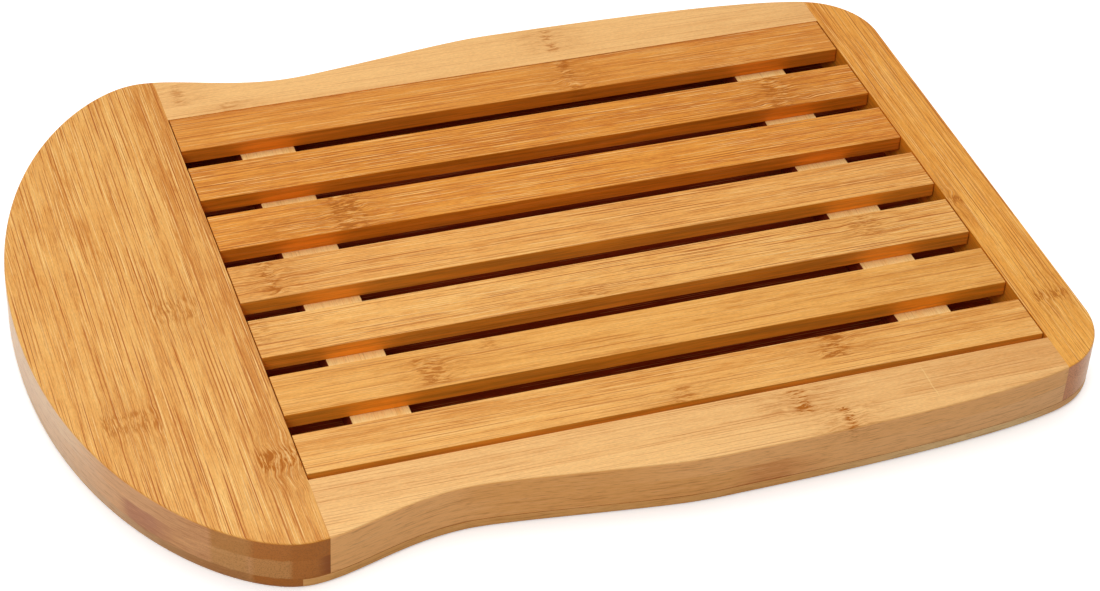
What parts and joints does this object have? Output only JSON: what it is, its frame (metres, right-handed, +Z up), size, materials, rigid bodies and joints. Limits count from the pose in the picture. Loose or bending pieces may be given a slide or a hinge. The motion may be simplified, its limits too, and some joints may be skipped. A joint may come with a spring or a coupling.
{
  "type": "bread board with crumb tray",
  "caption": "Flat wooden bread board with a rounded head, drawn-in waist and a shallow crumb recess under a slatted grid that lifts out.",
  "frame": {"origin": "middle of the board's length and width, on the surface that it stands on", "axes": "+X from the rounded head to the tail, +Y to the back long side, +Z up through the slats"},
  "size_m": [0.378, 0.2712, 0.0207],
  "materials": {
    "head_bamboo": "oiled bamboo, satin",
    "tail_bamboo": "oiled bamboo, satin",
    "rail_bamboo": "oiled bamboo, satin",
    "floor_bamboo": "oiled bamboo, satin",
    "slat_bamboo": "oiled bamboo, satin",
    "crossbar_bamboo": "oiled bamboo, satin",
    "dowel_wood": "plain wood",
    "pin_steel": "bright wire"
  },
  "bodies": {
    "board": {"tray_floor": "floor_bamboo", "head_board": "head_bamboo", "tail_rail": "tail_bamboo", "front_rail": "rail_bamboo", "back_rail": "rail_bamboo", "head_front_inner_dowel": "dowel_wood", "head_front_outer_dowel": "dowel_wood", "head_back_inner_dowel": "dowel_wood", "head_back_outer_dowel": "dowel_wood", "tail_front_dowel": "dowel_wood", "tail_back_dowel": "dowel_wood"},
    "grid": {"head_crossbar": "crossbar_bamboo", "tail_crossbar": "crossbar_bamboo", "slat_1": "slat_bamboo", "slat_2": "slat_bamboo", "slat_3": "slat_bamboo", "slat_4": "slat_bamboo", "slat_5": "slat_bamboo", "slat_6": "slat_bamboo", "slat_7": "slat_bamboo", "slat_1_head_pin": "pin_steel", "slat_1_tail_pin": "pin_steel", "slat_2_head_pin": "pin_steel", "slat_2_tail_pin": "pin_steel", "slat_3_head_pin": "pin_steel", "slat_3_tail_pin": "pin_steel", "slat_4_head_pin": "pin_steel", "slat_4_tail_pin": "pin_steel", "slat_5_head_pin": "pin_steel", "slat_5_tail_pin": "pin_steel", "slat_6_head_pin": "pin_steel", "slat_6_tail_pin": "pin_steel", "slat_7_head_pin": "pin_steel", "slat_7_tail_pin": "pin_steel"}
  },
  "joints": [
    {"name": "grid_lift", "type": "slide", "parent": "board", "child": "grid", "axis": [0, 0, 1], "range_m": [0, 0.06]}
  ]
}
